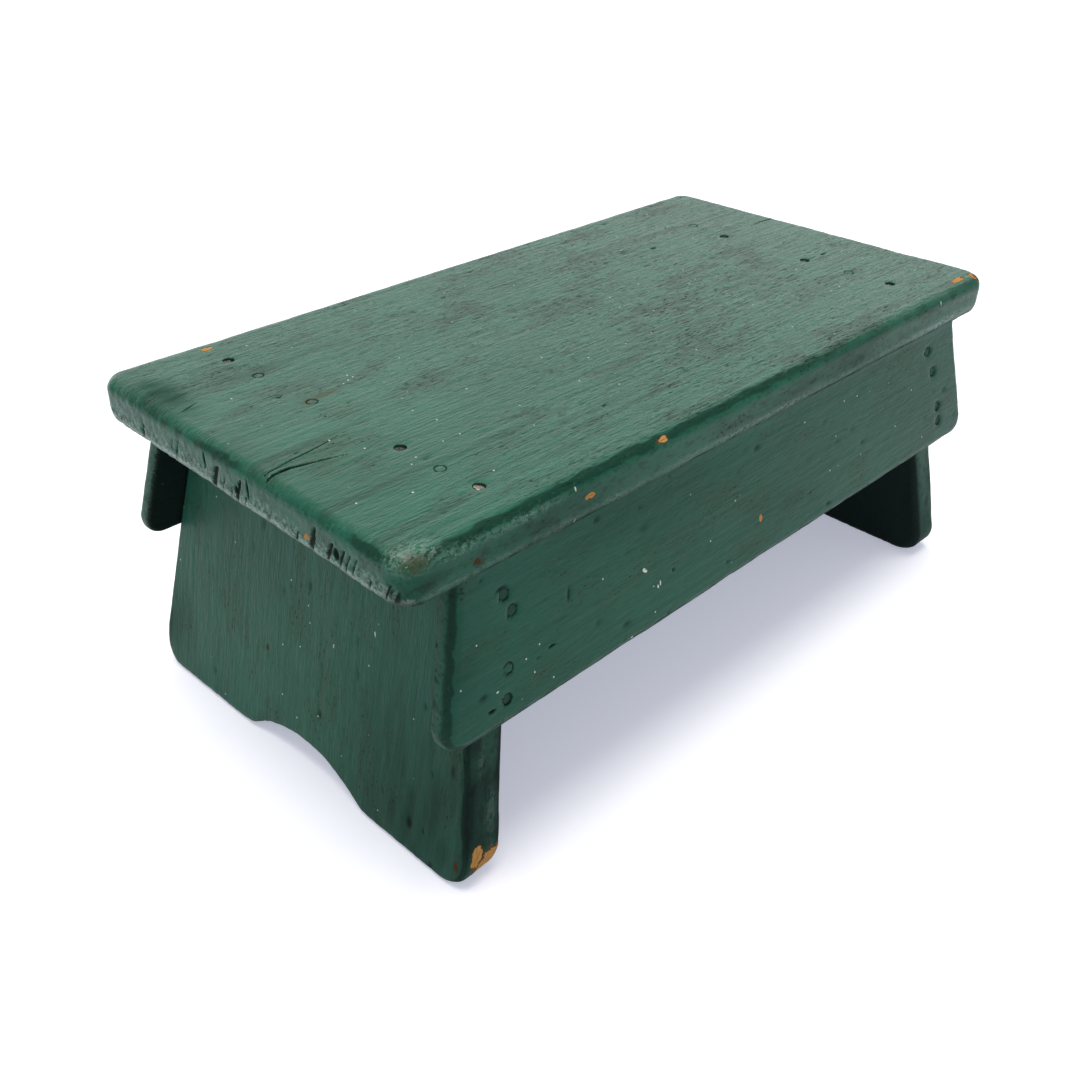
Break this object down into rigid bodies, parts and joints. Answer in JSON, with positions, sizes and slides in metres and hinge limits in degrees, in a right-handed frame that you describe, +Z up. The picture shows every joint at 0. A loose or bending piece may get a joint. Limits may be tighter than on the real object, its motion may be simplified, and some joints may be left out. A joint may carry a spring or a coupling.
{
  "type": "step stool",
  "caption": "Low painted plank step stool: an overhanging seat on splayed end boards with arched feet, tied by leaning side aprons nailed over their edges.",
  "frame": {"origin": "on the floor, under the middle of the seat", "axes": "+X along the seat, +Z up, the front apron faces -Y"},
  "size_m": [0.406, 0.2312, 0.165],
  "materials": {
    "painted_pine_seat": "old dark green oil enamel over pine, worn to a soft gloss, brushed along the seat",
    "painted_pine_legs": "old dark green oil enamel over pine with upright grain, chipped at the feet",
    "painted_pine_aprons": "old dark green oil enamel over pine, fine grain along the board",
    "painted_iron_nails": "dark iron wire nails painted over, with rust showing through on some heads"
  },
  "bodies": {
    "root": {"seat_board": "painted_pine_seat", "left_leg_board": "painted_pine_legs", "right_leg_board": "painted_pine_legs", "front_apron": "painted_pine_aprons", "rear_apron": "painted_pine_aprons", "seat_left_nail_1": "painted_iron_nails", "seat_left_nail_2": "painted_iron_nails", "seat_left_nail_3": "painted_iron_nails", "seat_left_nail_4": "painted_iron_nails", "seat_left_nail_5": "painted_iron_nails", "seat_left_nail_6": "painted_iron_nails", "seat_right_nail_1": "painted_iron_nails", "seat_right_nail_2": "painted_iron_nails", "seat_right_nail_3": "painted_iron_nails", "seat_right_nail_4": "painted_iron_nails", "seat_right_nail_5": "painted_iron_nails", "front_apron_left_nail_1": "painted_iron_nails", "front_apron_left_nail_2": "painted_iron_nails", "front_apron_left_nail_3": "painted_iron_nails", "front_apron_left_nail_4": "painted_iron_nails", "front_apron_right_nail_1": "painted_iron_nails", "front_apron_right_nail_2": "painted_iron_nails", "front_apron_right_nail_3": "painted_iron_nails", "front_apron_right_nail_4": "painted_iron_nails", "rear_apron_left_nail_1": "painted_iron_nails", "rear_apron_left_nail_2": "painted_iron_nails", "rear_apron_left_nail_3": "painted_iron_nails", "rear_apron_left_nail_4": "painted_iron_nails", "rear_apron_right_nail_1": "painted_iron_nails", "rear_apron_right_nail_2": "painted_iron_nails", "rear_apron_right_nail_3": "painted_iron_nails", "rear_apron_right_nail_4": "painted_iron_nails"}
  },
  "joints": []
}
